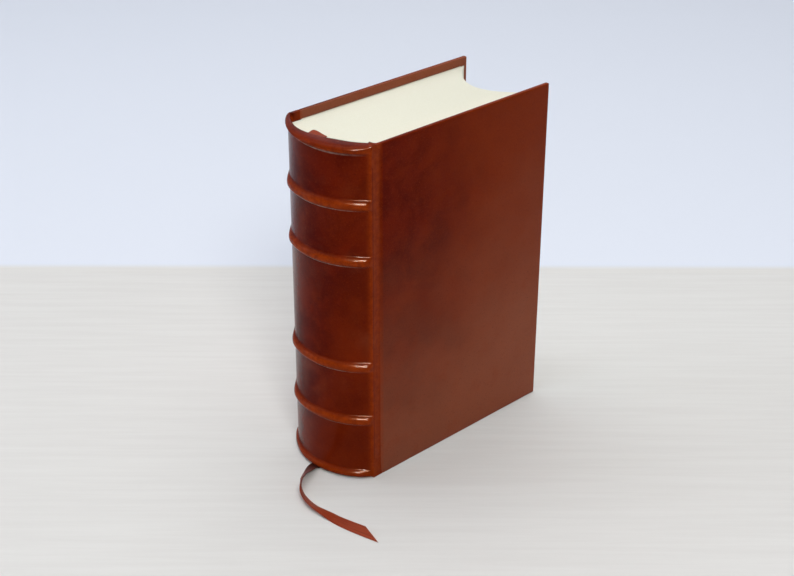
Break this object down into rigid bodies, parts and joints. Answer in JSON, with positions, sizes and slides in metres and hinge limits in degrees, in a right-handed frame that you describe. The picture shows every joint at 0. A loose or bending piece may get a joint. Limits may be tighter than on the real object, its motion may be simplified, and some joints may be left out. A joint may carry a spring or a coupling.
{
  "type": "antique leather book",
  "caption": "Thick full leather book with a rounded spine, raised bands, hinged covers, a hollow fore edge and a loose ribbon marker.",
  "frame": {"origin": "middle of the footprint of the standing book, on the surface that its boards stand on", "axes": "+X from the spine to the fore edge, +Y from the front cover to the back cover, +Z from tail to head"},
  "size_m": [0.1941, 0.1186, 0.216],
  "materials": {
    "leather": "gloss",
    "pages": "matte",
    "pastedown": "matte",
    "card": "matte",
    "mull_cloth": "matte",
    "cord": "matte",
    "ribbon": "satin"
  },
  "bodies": {
    "book_block": {"text_block": "pages", "spine_mull": "mull_cloth", "spine_liner": "card", "raised_band_1": "card", "raised_band_2": "card", "raised_band_3": "card", "raised_band_4": "card", "head_cap_cord": "cord", "tail_cap_cord": "cord", "spine_leather": "leather", "ribbon_marker": "ribbon"},
    "front_cover": {"front_cover_leather": "leather", "front_board": "card", "front_pastedown": "pastedown"},
    "back_cover": {"back_cover_leather": "leather", "back_board": "card", "back_pastedown": "pastedown"}
  },
  "joints": [
    {"name": "front_cover_hinge", "type": "hinge", "parent": "book_block", "child": "front_cover", "pos_m": [-0.05865, -0.03505, 0.108], "axis": [0, 0, -1], "range_deg": [0, 180], "deforming": ["ribbon_marker"]},
    {"name": "back_cover_hinge", "type": "hinge", "parent": "book_block", "child": "back_cover", "pos_m": [-0.05865, 0.03505, 0.108], "axis": [0, 0, 1], "range_deg": [0, 180]}
  ]
}
